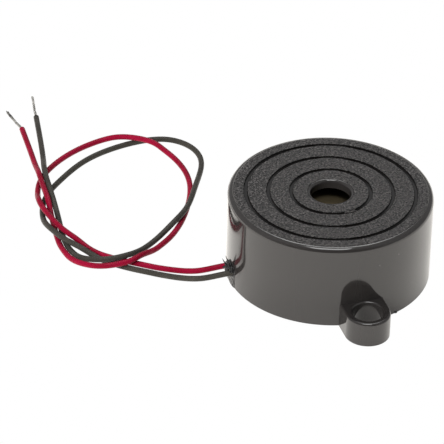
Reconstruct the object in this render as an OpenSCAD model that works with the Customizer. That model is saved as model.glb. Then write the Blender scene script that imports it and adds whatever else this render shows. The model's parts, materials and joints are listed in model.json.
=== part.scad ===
// Piezo buzzer with a round case, two screw ears and two flying leads.
// The case is a cup with its mouth down: the sound hole is in its top, the
// vibrating plate is sealed under a ledge below the top, and the drive circuit
// and the cover follow below it. The origin is the centre of the case's base,
// +Z is up through the sound hole, the ears point along Y and the leads leave at -X.
// All sizes are in millimetres.

/* [Case] */
// Outer diameter of the round case
case_d = 30; // [26:0.5:42]
// Height of the case
case_h = 13.2; // [12.4:0.2:20]
// Thickness of the round side wall
wall = 1.4; // [1:0.1:2]
// Thickness of the top
top_t = 1.4; // [1:0.1:2]
// Radius of the rounded edge around the top
top_edge_r = 0.8; // [0.3:0.1:1.2]

/* [Sound hole and rings] */
// Diameter of the sound hole
sound_d = 5.8; // [4:0.2:8]
// Radius of the rounded rim of the sound hole
sound_rim_r = 0.5; // [0.2:0.1:0.8]
// Radius of the innermost ring groove
ring_r = 5.8; // [5:0.1:7]
// Distance from one ring groove to the next
ring_step = 3.3; // [2:0.1:3.4]
// Number of ring grooves
ring_count = 3; // [1:1:3]
// Width of a ring groove
ring_w = 0.5; // [0.3:0.1:0.8]
// Depth of a ring groove
ring_depth = 0.3; // [0.1:0.05:0.5]
// Angle over which the innermost groove is left out
ring_gap = 20; // [5:5:45]

/* [Ears] */
// Land between the wall and the edge of a screw hole
ear_land = 0.25; // [0.2:0.05:8]
// Diameter of a screw hole
ear_hole_d = 4.5; // [3:0.1:6]
// Material around a screw hole
ear_rim = 1.05; // [0.8:0.05:2]
// Height of an ear
ear_h = 3.8; // [2:0.1:6]

/* [Vibrating plate] */
// Height of the air space between the top and the plate
front_space = 1.6; // [1:0.1:2.5]
// Width of the ledge that the plate is pressed against
ledge_w = 1.2; // [0.8:0.1:1.6]
// Thickness of the brass plate
plate_t = 0.3; // [0.15:0.05:0.4]
// Gap between the brass plate's rim and the wall
plate_gap = 0.3; // [0.2:0.05:0.5]
// Diameter of the ceramic disc
ceramic_d = 20; // [14:0.5:22]
// Thickness of the ceramic disc
ceramic_t = 0.25; // [0.15:0.05:0.4]
// Width of the bare ceramic around the silvering
silver_margin = 0.6; // [0.3:0.1:1]
// Thickness of the silvering
silver_t = 0.05; // [0.03:0.01:0.1]
// Radius of the round end of the feedback silvering
feedback_r = 1.7; // [1.2:0.1:2.2]
// Distance of that round end from the plate's centre
feedback_at = 4.5; // [3:0.5:6]
// Bare line between the two silvered areas
feedback_gap = 0.5; // [0.3:0.1:0.8]
// How far the silicone bead reaches in under the plate
bead_in = 0.8; // [0.4:0.1:1]
// How far the silicone bead reaches down the wall
bead_down = 0.9; // [0.4:0.1:1.2]

/* [Circuit] */
// Height of the circuit board's underside above the base
board_z = 3.2; // [3:0.1:4]
// Thickness of the circuit board
board_t = 1; // [0.8:0.1:1.2]
// Gap between the circuit board's rim and the wall
board_gap = 0.6; // [0.3:0.1:1]
// Number of ribs that the board is pushed against
rib_count = 4; // [3:1:6]
// Width of a rib
rib_w = 1.5; // [1:0.1:2]
// Height of a rib
rib_h = 2.5; // [1:0.1:3]
// How far a rib reaches in over the board
rib_over = 0.6; // [0.4:0.1:1]
// Diameter of a component leg
leg_d = 0.45; // [0.3:0.05:0.5]
// Clearance around a leg in its hole through the board
leg_gap = 0.1; // [0.05:0.05:0.2]
// Length of a leg below the board
leg_out = 0.7; // [0.3:0.1:0.9]
// Height of a solder joint
joint_h = 0.5; // [0.3:0.1:0.6]
// Width of a solder joint's foot around its leg
joint_foot = 0.35; // [0.2:0.05:0.4]
// Diameter of a thin inner wire
wire_d = 0.3; // [0.2:0.05:0.4]
// Bend radius of a thin inner wire
wire_bend = 0.8; // [0.5:0.1:1]

/* [Back cover] */
// Thickness of the cover in the mouth of the case
cover_t = 1.2; // [0.8:0.1:1.6]
// Gap between the cover's rim and the wall
cover_gap = 0.05; // [0.03:0.01:0.2]
// Thickness of the ring that the cover carries to hold the board
cover_ring_t = 1; // [0.8:0.1:1.5]
// Gap between that ring and the wall
cover_ring_gap = 0.4; // [0.2:0.1:0.6]

/* [Leads] */
// Diameter of a lead over its insulation
lead_d = 0.85; // [0.6:0.05:1.1]
// Diameter of the stranded wire in a lead
strand_d = 0.34; // [0.2:0.02:0.4]
// Distance between the two leads where they leave the case
lead_gap = 2; // [1.8:0.1:3]
// Height of the leads where they leave the case
lead_z = 2.3; // [2:0.1:2.5]
// Room around the leads in the slot in the wall
slot_room = 0.3; // [0.2:0.1:0.6]
// Insulated length of a lead inside the wall
lead_inside = 2; // [1:0.5:3]
// Height at which one lead lies over another, in lead diameters
lay_over = 1.2; // [1.1:0.05:1.5]
// Radius of the larger drops of sealant around the leads
sealant_r = 1.6; // [1.3:0.1:2]

/* [Hidden] */
$fn = 64;
// Cuts run this far past the solid that they cut
past = 1;

case_r = case_d / 2;
inner_r = case_r - wall;
under_top = case_h - top_t;
sound_r = sound_d / 2;
ear_hole_r = ear_hole_d / 2;
ear_r = ear_hole_r + ear_rim;
ear_at = case_r + ear_land + ear_hole_r;

plate_top = under_top - front_space;
plate_z = plate_top - plate_t;
plate_r = inner_r - plate_gap;
ceramic_z = plate_z - ceramic_t;
silver_z = ceramic_z - silver_t;
silver_r = ceramic_d / 2 - silver_margin;

board_top = board_z + board_t;
board_r = inner_r - board_gap;
leg_r = leg_d / 2;
joint_lip = 0.1;
wire_r = wire_d / 2;

lead_r = lead_d / 2;
strand_r = strand_d / 2;
slot_w = lead_gap + lead_d + 2 * slot_room;
slot_top = lead_z + lead_r + slot_room;
cover_ring_r = inner_r - cover_ring_gap;

// Transistor: half-round body lying on its flat, with its round side up
transistor_r = 2.3;
transistor_flat = 1.3;
transistor_len = 4.6;
transistor_at = [-5, 3];
transistor_leg_step = 1.27;
transistor_leg_run = 1.4;
transistor_leg_h = 1.1;

// Inductor: a drum of ferrite with one layer of windings between its flanges
inductor_at = [5, -5];
inductor_r = 3;
inductor_h = 4;
flange_t = 0.7;
drum_r = 1.2;
winding_r = 2.6;
inductor_leg_circle = 2;

// Chip parts: [x, y, turn, height]; the last one is the capacitor
chip_len = 2;
chip_w = 1.25;
chip_cap = 0.35;
resistor_h = 0.5;
capacitor_h = 0.9;
resistors = [[-4, -3, 0], [-4, -5.5, 0], [0, -8, 90]];
capacitor = [4, 7, 30];

// Inner wires: where each leaves the board, and where it reaches the plate
plate_wire_ends = [[-7.5, -6], [-8.1, -8.1]];
main_wire_ends = [[-1, -5], [-1.5, -2.2]];
feedback_wire_ends = [[7, 2.5], [4.5, 0.5]];

// Where the bare inner ends of the leads go up through the board
tail_run = 1.2;
tail_x = -(inner_r - lead_inside - tail_run);
tails_at = [for (side = [-1, 1]) [tail_x, side * lead_gap / 2]];

// Sealant: a drop around each lead, its centre this far inside the wall's face
// and below the lead, and a smaller drop above them
drop_in = 0.6;
drop_down = 0.3;
small_drop_r = sealant_r * 0.75;
small_drop_in = 0.3;
small_drop_up = 0.9;
small_drop_aside = 0.2;

// Corners around a lead
lead_sides = 8;

// The leads leave the wall straight and fall to the surface that the case
// stands on: distance from the wall, sideways shift, share of the exit's height
lead_fall = [[1.5, 0, 1], [4.5, 0.9, 0.6], [7.3, 3, 0.2]];

// Each lead then lies in one loop: distance out from the wall, distance across,
// and how many leads it lies over there
red_route = [
    [10, 6.2, 0], [13, 8.4, 0], [16, 10.9, 0], [17.8, 12.9, 0.3], [19, 14.6, 0.9], [19.9, 16.5, 1],
    [20.7, 18.8, 1], [21.7, 24, 1], [21.7, 26.3, 0.9], [21.1, 29.2, 0], [19.9, 32.3, 0],
    [17.2, 35.7, 0], [12.5, 39.1, 0], [7.5, 40.7, 0.2], [4.5, 39.6, 0.9], [0.9, 37, 1],
    [-0.4, 35.2, 0.6], [-1.6, 32.8, 0.1], [-2.1, 28, 0], [-0.9, 22.8, 0], [2, 17, 0],
    [5.2, 12.9, 0], [8.5, 10.2, 0.1], [11, 8.3, 0.9], [13, 7.2, 1], [15.5, 6.8, 1], [18, 7.3, 0.9],
    [20, 9.2, 0.5], [21.1, 12, 0], [21.5, 15.5, 0], [21.2, 19, 0], [20.7, 23, 0.1], [20.4, 26, 1],
    [20.1, 29.8, 1], [19.8, 33.2, 1], [19.4, 36.4, 0.2], [18.6, 47.3, 0]
];
black_route = [
    [10, 4.3, 0], [13, 6.5, 0], [16, 9.2, 0], [17.7, 11.1, 0.3], [19.4, 12.8, 1], [20.9, 15.3, 1],
    [21.8, 17.6, 1], [22.2, 20.4, 0.5], [22, 23, 0], [21.2, 25.9, 0], [19.4, 29.1, 0],
    [16.5, 32.2, 0], [12, 35.9, 0], [6.5, 38.3, 0], [1, 39.1, 0], [-2.6, 38.2, 0], [-5, 35.4, 0],
    [-5.4, 31.6, 0], [-4, 27.8, 0.1], [-2.1, 23.9, 0.7], [0.4, 19.2, 1], [2.2, 16.9, 1],
    [4.2, 15.1, 0.8], [6.8, 13.2, 0.2], [9.5, 11.2, 0.1], [12, 9.2, 0.8], [14.4, 8.5, 1],
    [16.6, 8.5, 1], [18.5, 9.4, 0.8], [19.8, 11.4, 0.2], [20.5, 14.5, 0], [20.4, 18, 0],
    [19.8, 22.4, 0], [19.5, 26, 0.6], [19.3, 29, 1], [19, 32, 1], [18.5, 35, 0.8], [17.7, 38.4, 0.1],
    [15.6, 50, 0]
];

// The bare ends beyond the insulation: distance out, distance across
red_tip = [[0.3, 1.8], [0.6, 3.8], [0.9, 6]];
black_tip = [[-0.3, 2], [-0.7, 4.1], [-1.1, 6.2]];

// The lead's whole centre line, from its inner end to the end of the insulation
function lead_path(side, route) = let (y = side * lead_gap / 2) concat(
    [[-(inner_r - lead_inside), y, lead_z]],
    [for (p = lead_fall) [-case_r - p[0], y + p[1], lead_r + p[2] * (lead_z - lead_r)]],
    [for (p = route) [-case_r - p[0], p[1], lead_r + p[2] * lay_over * lead_d]]
);

// The bare end's centre line: it starts in the insulation's end and sinks to the surface
function tip_path(route, tip) = let (end = route[len(route) - 1]) concat(
    [[-case_r - end[0], end[1], lead_r]],
    [for (i = [0:len(tip) - 1]) [-case_r - end[0] - tip[i][0], end[1] + tip[i][1],
        strand_r + (lead_r - strand_r) * (1 - (i + 1) / len(tip))]]
);

function unit(v) = v / norm(v);
function along(path, i) = unit(path[min(i + 1, len(path) - 1)] - path[max(i - 1, 0)]);
function ring_at(path, i, r, sides) =
    let (t = along(path, i), s = unit(cross([0, 0, 1], t)), u = cross(t, s))
    [for (k = [0:sides - 1]) path[i] + r * (cos(360 * (k + 0.5) / sides) * s
        + sin(360 * (k + 0.5) / sides) * u)];

// A tube swept along a path, with one ring of corners at each of its points
module tube(path, r, sides = lead_sides) {
    last = len(path) - 1;
    corners = [for (i = [0:last]) each ring_at(path, i, r, sides)];
    walls = [for (i = [0:last - 1], k = [0:sides - 1])
        let (a = i * sides + k, b = i * sides + (k + 1) % sides)
        each [[a, a + sides, b], [b, a + sides, b + sides]]];
    near = [for (k = [0:sides - 1]) k];
    far = [for (k = [sides - 1:-1:0]) last * sides + k];
    polyhedron(points = corners, faces = concat(walls, [near], [far]));
}

// Section of the case's shell, to be turned about Z
module case_section() {
    translate([inner_r, 0]) square([wall, case_h - top_edge_r]);
    translate([case_r - top_edge_r, case_h - top_edge_r]) circle(r = top_edge_r);
    translate([sound_r + sound_rim_r, under_top])
        square([case_r - top_edge_r - sound_r - sound_rim_r, top_t]);
    translate([sound_r + sound_rim_r, case_h - sound_rim_r]) circle(r = sound_rim_r);
    translate([sound_r, under_top]) square([sound_rim_r, top_t - sound_rim_r]);
    translate([inner_r - ledge_w, plate_top]) square([ledge_w + wall / 2, front_space + top_t / 2]);
}

module ring_groove(r, gap) {
    translate([0, 0, case_h - ring_depth])
        rotate([0, 0, gap - 90])
            rotate_extrude(angle = 360 - gap, $fn = 96)
                translate([r - ring_w / 2, 0]) square([ring_w, ring_depth + past]);
}

// One ear, with its straight sides running into the wall
module ear(side) {
    translate([0, side * ear_at, 0]) cylinder(r = ear_r, h = ear_h);
    translate([-ear_r, side > 0 ? inner_r + wall / 2 : -ear_at, 0])
        cube([2 * ear_r, ear_at - inner_r - wall / 2, ear_h]);
}

module case() {
    color("dimgray") difference() {
        union() {
            rotate_extrude($fn = 96) case_section();
            difference() {
                for (side = [-1, 1]) ear(side);
                translate([0, 0, -past]) cylinder(r = inner_r + wall / 4, h = ear_h + 2 * past);
            }
            for (i = [0:rib_count - 1])
                rotate([0, 0, 360 * (i + 0.5) / rib_count])
                    translate([board_r - rib_over, -rib_w / 2, board_top])
                        cube([inner_r + wall / 2 - board_r + rib_over, rib_w, rib_h]);
        }
        for (side = [-1, 1])
            translate([0, side * ear_at, -past]) cylinder(r = ear_hole_r, h = ear_h + 2 * past);
        for (i = [0:ring_count - 1])
            if (i == 0) ring_groove(ring_r, ring_gap);
            else translate([0, 0, case_h - ring_depth]) difference() {
                cylinder(r = ring_r + i * ring_step + ring_w / 2, h = ring_depth + past);
                translate([0, 0, -past])
                    cylinder(r = ring_r + i * ring_step - ring_w / 2, h = ring_depth + 3 * past);
            }
        translate([-case_r - past, -slot_w / 2, -past])
            cube([wall + 2 * past, slot_w, slot_top + past]);
    }
}

// Cover in the mouth of the case, with the ring that pushes the board up
module back_cover() {
    color("black") difference() {
        union() {
            cylinder(r = inner_r - cover_gap, h = cover_t);
            difference() {
                cylinder(r = cover_ring_r, h = board_z);
                translate([0, 0, cover_t])
                    cylinder(r = cover_ring_r - cover_ring_t, h = board_z);
            }
        }
        translate([-cover_ring_r - past, -slot_w / 2, cover_t])
            cube([cover_ring_t + 2 * past, slot_w, board_z]);
    }
}

module brass_plate() {
    color("goldenrod") translate([0, 0, plate_z]) cylinder(r = plate_r, h = plate_t);
}

module ceramic_disc() {
    color("lightgray") translate([0, 0, ceramic_z]) cylinder(d = ceramic_d, h = ceramic_t);
}

// Tongue that runs in from the disc's rim and ends in a round
module feedback_shape(grow, thick) {
    translate([feedback_at, 0, 0]) cylinder(r = feedback_r + grow, h = thick);
    translate([feedback_at, -feedback_r - grow, 0])
        cube([silver_r + past - feedback_at, 2 * (feedback_r + grow), thick]);
}

module main_electrode() {
    color("silver") translate([0, 0, silver_z]) difference() {
        cylinder(r = silver_r, h = silver_t);
        translate([0, 0, -past]) feedback_shape(feedback_gap, silver_t + 2 * past);
    }
}

module feedback_electrode() {
    color("silver") translate([0, 0, silver_z]) intersection() {
        cylinder(r = silver_r, h = silver_t);
        feedback_shape(0, silver_t);
    }
}

// Bead of silicone around the plate's rim, thickest against the wall
module plate_bead() {
    color("white") rotate_extrude($fn = 96) polygon([
        [inner_r, plate_z - bead_down], [inner_r, plate_top], [plate_r, plate_top],
        [plate_r, plate_z], [plate_r - bead_in, plate_z]
    ]);
}

// Every place where something passes through the board
function leg_places() = concat(transistor_leg_places(), inductor_leg_places());
function wire_places() = [plate_wire_ends[0], main_wire_ends[0], feedback_wire_ends[0]];
function transistor_leg_places() = [for (k = [-1:1])
    [transistor_at[0] + k * transistor_leg_step, transistor_at[1] - transistor_leg_run]];
function inductor_leg_places() = [for (k = [0:2])
    inductor_at + inductor_leg_circle * [cos(120 * k), sin(120 * k)]];

// Cut through the board for something of radius r
module board_hole(place, r) {
    translate([place[0], place[1], board_z - past])
        cylinder(r = r + leg_gap, h = board_t + 2 * past, $fn = 24);
}

module circuit_board() {
    color("darkgreen") difference() {
        translate([0, 0, board_z]) cylinder(r = board_r, h = board_t);
        for (p = leg_places()) board_hole(p, leg_r);
        for (p = wire_places()) board_hole(p, wire_r);
        for (p = tails_at) board_hole(p, strand_r);
    }
}

module transistor() {
    color("black") translate([transistor_at[0], transistor_at[1], board_top + transistor_flat])
        rotate([-90, 0, 0]) intersection() {
            cylinder(r = transistor_r, h = transistor_len);
            translate([-transistor_r, -transistor_r, 0])
                cube([2 * transistor_r, transistor_r + transistor_flat, transistor_len]);
        }
}

// Legs leave the flat end of the body, run forward and turn down through the board
module transistor_legs() {
    color("silver") for (p = transistor_leg_places()) {
        height = board_top + transistor_leg_h;
        translate([p[0], p[1], board_z - leg_out])
            cylinder(r = leg_r, h = height - board_z + leg_out, $fn = 24);
        translate([p[0], p[1], height]) sphere(r = leg_r, $fn = 24);
        translate([p[0], p[1], height]) rotate([-90, 0, 0])
            cylinder(r = leg_r, h = transistor_leg_run, $fn = 24);
    }
}

module inductor_core() {
    color("darkslategray") translate([inductor_at[0], inductor_at[1], board_top]) {
        cylinder(r = inductor_r, h = flange_t);
        cylinder(r = drum_r, h = inductor_h);
        translate([0, 0, inductor_h - flange_t]) cylinder(r = inductor_r, h = flange_t);
    }
}

module inductor_winding() {
    color("chocolate") translate([inductor_at[0], inductor_at[1], board_top + flange_t])
        difference() {
            cylinder(r = winding_r, h = inductor_h - 2 * flange_t);
            translate([0, 0, -past]) cylinder(r = drum_r, h = inductor_h + past);
        }
}

module inductor_legs() {
    color("silver") for (p = inductor_leg_places())
        translate([p[0], p[1], board_z - leg_out])
            cylinder(r = leg_r, h = board_t + leg_out, $fn = 24);
}

// A chip part's body between its two terminals, standing on the board
module chip_body(place, height) {
    translate([place[0], place[1], board_top]) rotate([0, 0, place[2]])
        translate([-chip_len / 2 + chip_cap, -chip_w / 2, 0])
            cube([chip_len - 2 * chip_cap, chip_w, height]);
}

module chip_ends(place, height) {
    translate([place[0], place[1], board_top]) rotate([0, 0, place[2]])
        for (x = [-chip_len / 2, chip_len / 2 - chip_cap])
            translate([x, -chip_w / 2, 0]) cube([chip_cap, chip_w, height]);
}

module chip_resistors() {
    color("black") for (place = resistors) chip_body(place, resistor_h);
}

module chip_capacitor() {
    color("tan") chip_body(capacitor, capacitor_h);
}

module chip_terminals() {
    color("silver") {
        for (place = resistors) chip_ends(place, resistor_h);
        chip_ends(capacitor, capacitor_h);
    }
}

// A quarter bend of thin wire in the XZ plane, from one angle on
module wire_bend_at(start) {
    rotate([90, 0, 0]) rotate([0, 0, start])
        rotate_extrude(angle = 90, $fn = 32) translate([wire_bend, 0]) circle(r = wire_r, $fn = 24);
}

// A thin wire that rises from the board, runs across and rises to the plate
module inner_wire(ends, z_to) {
    run = norm(ends[1] - ends[0]);
    turn = atan2(ends[1][1] - ends[0][1], ends[1][0] - ends[0][0]);
    z_from = board_z - leg_out;
    z_across = (board_top + z_to) / 2;
    color("red") translate([ends[0][0], ends[0][1], 0]) rotate([0, 0, turn]) {
        translate([0, 0, z_from]) cylinder(r = wire_r, h = z_across - wire_bend - z_from, $fn = 24);
        translate([wire_bend, 0, z_across - wire_bend]) wire_bend_at(90);
        translate([wire_bend, 0, z_across]) rotate([0, 90, 0])
            cylinder(r = wire_r, h = run - 2 * wire_bend, $fn = 24);
        translate([run - wire_bend, 0, z_across + wire_bend]) wire_bend_at(270);
        translate([run, 0, z_across + wire_bend])
            cylinder(r = wire_r, h = z_to - z_across - wire_bend, $fn = 24);
    }
}

module plate_wire() { inner_wire(plate_wire_ends, plate_z); }
module main_wire() { inner_wire(main_wire_ends, silver_z); }
module feedback_wire() { inner_wire(feedback_wire_ends, silver_z); }

// A cone of solder under a face, around a wire or leg of radius r
module solder(place, z_face, r) {
    translate([place[0], place[1], z_face - joint_h]) difference() {
        cylinder(r1 = r + joint_lip, r2 = r + joint_foot, h = joint_h, $fn = 32);
        translate([0, 0, -past]) cylinder(r = r, h = joint_h + 2 * past, $fn = 24);
    }
}

module wire_joints() {
    color("lightgray") {
        solder(plate_wire_ends[1], plate_z, wire_r);
        solder(main_wire_ends[1], silver_z, wire_r);
        solder(feedback_wire_ends[1], silver_z, wire_r);
    }
}

module board_joints() {
    color("lightgray") {
        for (p = leg_places()) solder(p, board_z, leg_r);
        for (p = wire_places()) solder(p, board_z, wire_r);
        for (p = tails_at) solder(p, board_z, strand_r);
    }
}

// Bare inner ends of the two leads, turned up through the board
module lead_tails() {
    color("silver") for (p = tails_at) {
        start = -(inner_r - lead_inside);
        translate([start, p[1], lead_z]) rotate([0, 90, 0])
            cylinder(r = strand_r, h = p[0] - start, $fn = 24);
        translate([p[0], p[1], lead_z]) sphere(r = strand_r, $fn = 24);
        translate([p[0], p[1], lead_z]) cylinder(r = strand_r, h = board_top - lead_z, $fn = 24);
    }
}

// The stretch of wall that the slot takes away
module slot_filling() {
    intersection() {
        translate([-case_r - past, -slot_w / 2, 0]) cube([wall + past, slot_w, slot_top]);
        difference() {
            cylinder(r = case_r, h = slot_top);
            translate([0, 0, -past]) cylinder(r = inner_r, h = slot_top + 2 * past);
        }
    }
}

// Drops of sealant that stand out of the wall around the leads
module sealant_drops() {
    difference() {
        union() {
            for (side = [-1, 1])
                translate([-case_r + drop_in, side * lead_gap / 2, lead_z - drop_down])
                    sphere(r = sealant_r);
            translate([-case_r + small_drop_in, small_drop_aside, lead_z + small_drop_up])
                sphere(r = small_drop_r);
        }
        translate([0, 0, -past]) cylinder(r = case_r, h = case_h + 2 * past);
    }
}

// Sealant that fills the slot and stands out of it, shaped round the leads and flat at the base
module lead_sealant() {
    color("black") difference() {
        union() {
            slot_filling();
            sealant_drops();
        }
        for (side = [-1, 1])
            translate([-case_r - 2 * sealant_r, side * lead_gap / 2, lead_z]) rotate([0, 90, 0])
                rotate([0, 0, 180 / lead_sides])
                    cylinder(r = lead_r, h = 2 * sealant_r + wall + past, $fn = lead_sides);
        translate([-case_r - 2 * sealant_r, -lead_gap / 2 - 2 * sealant_r, -2 * sealant_r])
            cube([4 * sealant_r, lead_gap + 4 * sealant_r, 2 * sealant_r]);
    }
}

module red_lead() { color("crimson") tube(lead_path(1, red_route), lead_r); }
module black_lead() { color("dimgray") tube(lead_path(-1, black_route), lead_r); }
module red_strands() { color("silver") tube(tip_path(red_route, red_tip), strand_r); }
module black_strands() { color("silver") tube(tip_path(black_route, black_tip), strand_r); }

case();
back_cover();
brass_plate();
ceramic_disc();
main_electrode();
feedback_electrode();
plate_bead();
circuit_board();
transistor();
transistor_legs();
inductor_core();
inductor_winding();
inductor_legs();
chip_resistors();
chip_capacitor();
chip_terminals();
plate_wire();
main_wire();
feedback_wire();
wire_joints();
board_joints();
lead_tails();
lead_sealant();
red_lead();
black_lead();
red_strands();
black_strands();
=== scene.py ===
# %% [markdown]
# # A piezo buzzer
# A piezo buzzer is a small black plastic cup with its mouth down. A thin brass
# plate is sealed inside under a round sound hole, and a little circuit makes it
# ring. Two ears take screws, and two soft leads, one red and one black, bring
# the current. The hard pieces come ready-made in the frame at their true
# places. This lesson gives them their finish, and makes again the few pieces
# whose rounded edges, lumps or twisted strands are better shaped here.

# %% Load the frame
import json
import math
import bpy
import numpy as np
from mathutils import Matrix, Vector


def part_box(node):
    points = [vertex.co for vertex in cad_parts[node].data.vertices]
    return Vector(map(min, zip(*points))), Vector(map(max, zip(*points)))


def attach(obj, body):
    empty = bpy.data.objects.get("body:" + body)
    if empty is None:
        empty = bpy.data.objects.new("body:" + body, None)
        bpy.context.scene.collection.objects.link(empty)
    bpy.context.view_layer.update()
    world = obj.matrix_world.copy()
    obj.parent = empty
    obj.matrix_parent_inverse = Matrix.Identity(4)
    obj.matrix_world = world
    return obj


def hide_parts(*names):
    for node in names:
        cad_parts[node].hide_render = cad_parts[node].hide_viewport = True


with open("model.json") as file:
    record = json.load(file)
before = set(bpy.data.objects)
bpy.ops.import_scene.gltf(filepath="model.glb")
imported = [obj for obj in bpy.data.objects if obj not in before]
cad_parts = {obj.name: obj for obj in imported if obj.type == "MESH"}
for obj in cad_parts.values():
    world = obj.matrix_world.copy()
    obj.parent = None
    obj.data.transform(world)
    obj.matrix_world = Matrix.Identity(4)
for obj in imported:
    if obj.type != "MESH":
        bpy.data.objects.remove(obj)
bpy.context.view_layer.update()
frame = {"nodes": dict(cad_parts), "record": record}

nodes = frame["nodes"]
MM = 0.001

# %% [markdown]
# ## Sizes read from the frame
# The case's own box gives its radius, its height and how far the ears reach, and
# the brass plate's box gives the floor of the air space under the top. What a
# box can't tell is written as a number: the wall, the grooves, the holes, the
# edges of the top and of the sound hole, and the leads' exit as the solids have
# them, and the smallest roundings, which only the finished pieces have.

# %% Named sizes
case_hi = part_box("case")[1]
plate_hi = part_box("brass_plate")[1]
CASE_R = case_hi[0]
CASE_H = case_hi[2]
WALL = 1.4 * MM
TOP = 1.4 * MM
LEDGE = 1.2 * MM
INNER_R = CASE_R - WALL
SOUND_R = 2.9 * MM
EAR_AT = 17.5 * MM
EAR_HOLE_R = 2.25 * MM
EAR_R = case_hi[1] - EAR_AT
EAR_H = 3.8 * MM
GROOVES = np.array([5.8, 9.1, 12.4]) * MM
GROOVE_W = 0.5 * MM
GROOVE_DEPTH = 0.3 * MM
GROOVE_LIP_R = 0.09 * MM
GROOVE_ROOT_R = 0.06 * MM
TOP_EDGE_R = 0.8 * MM
SOUND_RIM_R = 0.5 * MM
EAR_RIM_R = 0.35 * MM
EAR_LIP_R = 0.3 * MM
SMALL_R = 0.1 * MM
FOOT_R = 0.03 * MM
LEAD_R = 0.425 * MM
STRAND_R = 0.17 * MM
EXIT_Z = 2.3 * MM
EXIT_Y = 1.0 * MM
LEAD_INSIDE = 2 * MM
LAY_OVER = 1.2
print(f"case {2000 * CASE_R:.1f} mm across, {1000 * CASE_H:.1f} mm high, ears to {1000 * case_hi[1]:.2f} mm")

# %% [markdown]
# ## The camera
# The buzzer is seen from in front of one ear, a little to its left, from about
# 34 degrees above. A long lens far away keeps the round top nearly a true
# ellipse. The camera comes first, so that every later piece can be judged in
# the view that matters most.

# %% Camera
CAMERA_PLACE = Vector((-0.16454, -0.44009, 0.32523))
HEADING = math.radians(18.588)
DOWNWARD = math.radians(34.101)
ROLL = math.radians(1.658)
LENS_MM = 314.8
SENSOR_MM = 36
camera_data = bpy.data.cameras.new("camera")
camera_data.lens = LENS_MM
camera_data.sensor_width = SENSOR_MM
camera = bpy.data.objects.new("camera", camera_data)
camera.matrix_world = (
    Matrix.Translation(CAMERA_PLACE)
    @ Matrix.Rotation(-HEADING, 4, "Z")
    @ Matrix.Rotation(math.pi / 2 - DOWNWARD, 4, "X")
    @ Matrix.Rotation(ROLL, 4, "Z")
)
bpy.context.scene.collection.objects.link(camera)
bpy.context.scene.camera = camera
print("camera distance:", round(CAMERA_PLACE.length, 3), "m")

# %% [markdown]
# ## A grid becomes a mesh
# Each new shape here is a function of two parameters, worked out for a whole
# grid at once. This helper takes that grid of points and joins neighbours with
# four-cornered faces. A grid may close on itself in either direction, as a tube
# does round its section, and an end row can be closed with one many-cornered face.

# %% Grid to mesh
def grid_piece(name, points, close_rows=False, close_columns=True, caps=(False, False)):
    """A mesh from a (rows, columns, 3) array: corner (i, j) joins (i+1, j), (i+1, j+1) and (i, j+1)."""
    rows, columns = points.shape[:2]
    row_count = rows if close_rows else rows - 1
    column_count = columns if close_columns else columns - 1
    i, j = np.meshgrid(np.arange(row_count), np.arange(column_count), indexing="ij")
    i_next, j_next = (i + 1) % rows, (j + 1) % columns
    row, row_next = i * columns, i_next * columns
    quads = np.stack([row + j, row + j_next, row_next + j_next, row_next + j], -1)
    faces = quads.reshape(-1, 4).tolist()
    if caps[0]:
        faces.append(list(range(columns))[::-1])
    if caps[1]:
        faces.append([(rows - 1) * columns + k for k in range(columns)])
    mesh = bpy.data.meshes.new(name)
    mesh.from_pydata(points.reshape(-1, 3), [], faces)
    mesh.update()
    mesh.polygons.foreach_set("use_smooth", np.ones(len(mesh.polygons), bool))
    piece = bpy.data.objects.new(name, mesh)
    bpy.context.scene.collection.objects.link(piece)
    return piece


def outward(piece):
    """Turns a closed piece's faces outwards if its volume comes out negative."""
    mesh = piece.data
    corners = np.zeros(len(mesh.vertices) * 3)
    mesh.vertices.foreach_get("co", corners)
    corners = corners.reshape(-1, 3)
    mesh.calc_loop_triangles()
    triangles = np.zeros(len(mesh.loop_triangles) * 3, int)
    mesh.loop_triangles.foreach_get("vertices", triangles)
    a, b, c = (corners[triangles.reshape(-1, 3)[:, k]] for k in range(3))
    volume = float((a * np.cross(b, c)).sum() / 6)
    if volume < 0:
        mesh.flip_normals()
    print(f"{piece.name}: {len(mesh.vertices)} corners, {abs(volume) * 1e9:.1f} mm3")
    return piece


# %% [markdown]
# ## The leads' centre lines
# Each lead is about 150 mm of soft insulated wire. It leaves the wall straight,
# sinks to the table, and lies in one loop that crosses itself and the other lead.
# A few listed points say where it goes: the distance out from the wall,
# the distance across, and how many leads it lies over there. A cubic spline
# that keeps its bend continuous joins the points, because a soft wire has no kinks.

# %% Route points
SPLINE_SAMPLES = 6000
RING_STEP = 0.35 * MM
FALL = np.array([[1.5, 0, 1], [4.5, 0.9, 0.6], [7.3, 3, 0.2]])
RED_ROUTE = np.array([
    [10, 6.2, 0], [13, 8.4, 0], [16, 10.9, 0], [17.8, 12.9, 0.3], [19, 14.6, 0.9], [19.9, 16.5, 1],
    [20.7, 18.8, 1], [21.7, 24, 1], [21.7, 26.3, 0.9], [21.1, 29.2, 0], [19.9, 32.3, 0],
    [17.2, 35.7, 0], [12.5, 39.1, 0], [7.5, 40.7, 0.2], [4.5, 39.6, 0.9], [0.9, 37, 1],
    [-0.4, 35.2, 0.6], [-1.6, 32.8, 0.1], [-2.1, 28, 0], [-0.9, 22.8, 0], [2, 17, 0],
    [5.2, 12.9, 0], [8.5, 10.2, 0.1], [11, 8.3, 0.9], [13, 7.2, 1], [15.5, 6.8, 1], [18, 7.3, 0.9],
    [20, 9.2, 0.5], [21.1, 12, 0], [21.5, 15.5, 0], [21.2, 19, 0], [20.7, 23, 0.1], [20.4, 26, 1],
    [20.1, 29.8, 1], [19.8, 33.2, 1], [19.4, 36.4, 0.2], [18.6, 47.3, 0],
])
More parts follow.
